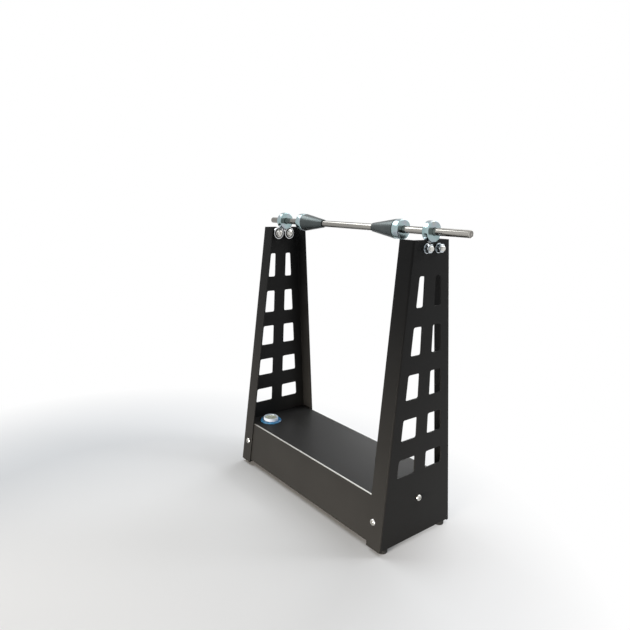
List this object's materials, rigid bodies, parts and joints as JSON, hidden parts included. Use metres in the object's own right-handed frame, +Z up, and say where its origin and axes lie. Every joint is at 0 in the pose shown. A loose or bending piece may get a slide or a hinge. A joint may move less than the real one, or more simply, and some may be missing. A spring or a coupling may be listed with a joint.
{
  "type": "motorcycle wheel balancer",
  "caption": "Folded sheet-steel stand with two tapered uprights full of cut-outs, carrying a free-turning shaft with centring cones on ball bearings, and a round spirit level on its base.",
  "frame": {"origin": "on the surface that the feet stand on, under the middle of the whole object, which lies half-way along the shaft", "axes": "+X along the shaft towards its longer stub (the near end), +Y from the front to the back, +Z up"},
  "size_m": [0.49, 0.1722, 0.5211],
  "materials": {
    "powder_coat": "fine textured black powder coat",
    "zinc": "bright zinc plating, bluish",
    "stainless": "bright stainless steel",
    "bearing_steel": "ground bearing steel with dark seals",
    "turned_steel": "dark turned steel",
    "rubber": "matt moulded rubber",
    "blue_plastic": "glossy blue",
    "level_silver": "satin silver",
    "vial": "clear domed vial with pale liquid"
  },
  "bodies": {
    "stand": {"base_channel": "powder_coat", "near_upright": "powder_coat", "far_upright": "powder_coat", "near_plate_screw": "stainless", "near_front_flange_screw": "stainless", "near_back_flange_screw": "stainless", "far_plate_screw": "stainless", "far_front_flange_screw": "stainless", "far_back_flange_screw": "stainless", "near_front_foot": "rubber", "near_back_foot": "rubber", "far_front_foot": "rubber", "far_back_foot": "rubber", "near_front_foot_screw": "zinc", "near_back_foot_screw": "zinc", "far_front_foot_screw": "zinc", "far_back_foot_screw": "zinc", "near_front_bolt": "stainless", "near_front_washer": "zinc", "near_front_nut": "zinc", "near_front_spacer": "zinc", "near_front_inner_ring": "bearing_steel", "near_back_bolt": "stainless", "near_back_washer": "zinc", "near_back_nut": "zinc", "near_back_spacer": "zinc", "near_back_inner_ring": "bearing_steel", "far_front_bolt": "stainless", "far_front_washer": "zinc", "far_front_nut": "zinc", "far_front_spacer": "zinc", "far_front_inner_ring": "bearing_steel", "far_back_bolt": "stainless", "far_back_washer": "zinc", "far_back_nut": "zinc", "far_back_spacer": "zinc", "far_back_inner_ring": "bearing_steel", "level_flange": "blue_plastic", "level_body": "level_silver", "level_vial": "vial"},
    "shaft": {"shaft_rod": "stainless", "near_support_ring": "zinc", "near_support_ring_set_screw": "stainless", "far_support_ring": "zinc", "far_support_ring_set_screw": "stainless"},
    "near_centring": {"near_cone": "turned_steel", "near_cone_collar": "zinc", "near_cone_collar_set_screw": "stainless"},
    "far_centring": {"far_cone": "turned_steel", "far_cone_collar": "zinc", "far_cone_collar_set_screw": "stainless"},
    "near_front_bearing": {"near_front_outer_ring": "bearing_steel"},
    "near_back_bearing": {"near_back_outer_ring": "bearing_steel"},
    "far_front_bearing": {"far_front_outer_ring": "bearing_steel"},
    "far_back_bearing": {"far_back_outer_ring": "bearing_steel"}
  },
  "joints": [
    {"name": "shaft_spin", "type": "hinge", "parent": "stand", "child": "shaft", "pos_m": [0, 0, 0.50412], "axis": [1, 0, 0], "continuous": true},
    {"name": "near_front_bearing_spin", "type": "hinge", "parent": "stand", "child": "near_front_bearing", "pos_m": [0.1689, -0.01385, 0.4783], "axis": [1, 0, 0], "continuous": true},
    {"name": "near_back_bearing_spin", "type": "hinge", "parent": "stand", "child": "near_back_bearing", "pos_m": [0.1689, 0.01385, 0.4783], "axis": [1, 0, 0], "continuous": true},
    {"name": "far_front_bearing_spin", "type": "hinge", "parent": "stand", "child": "far_front_bearing", "pos_m": [-0.2079, -0.01385, 0.4783], "axis": [1, 0, 0], "continuous": true},
    {"name": "far_back_bearing_spin", "type": "hinge", "parent": "stand", "child": "far_back_bearing", "pos_m": [-0.2079, 0.01385, 0.4783], "axis": [1, 0, 0], "continuous": true},
    {"name": "near_cone_slide", "type": "slide", "parent": "shaft", "child": "near_centring", "axis": [1, 0, 0], "range_m": [-0.0648, 0.0487]},
    {"name": "far_cone_slide", "type": "slide", "parent": "shaft", "child": "far_centring", "axis": [-1, 0, 0], "range_m": [-0.0648, 0.0487]}
  ],
  "couplings": [
    {"joint": "near_front_bearing_spin", "follows": "shaft_spin", "ratio": -1.4167},
    {"joint": "near_back_bearing_spin", "follows": "shaft_spin", "ratio": -1.4167},
    {"joint": "far_front_bearing_spin", "follows": "shaft_spin", "ratio": -1.4167},
    {"joint": "far_back_bearing_spin", "follows": "shaft_spin", "ratio": -1.4167}
  ]
}
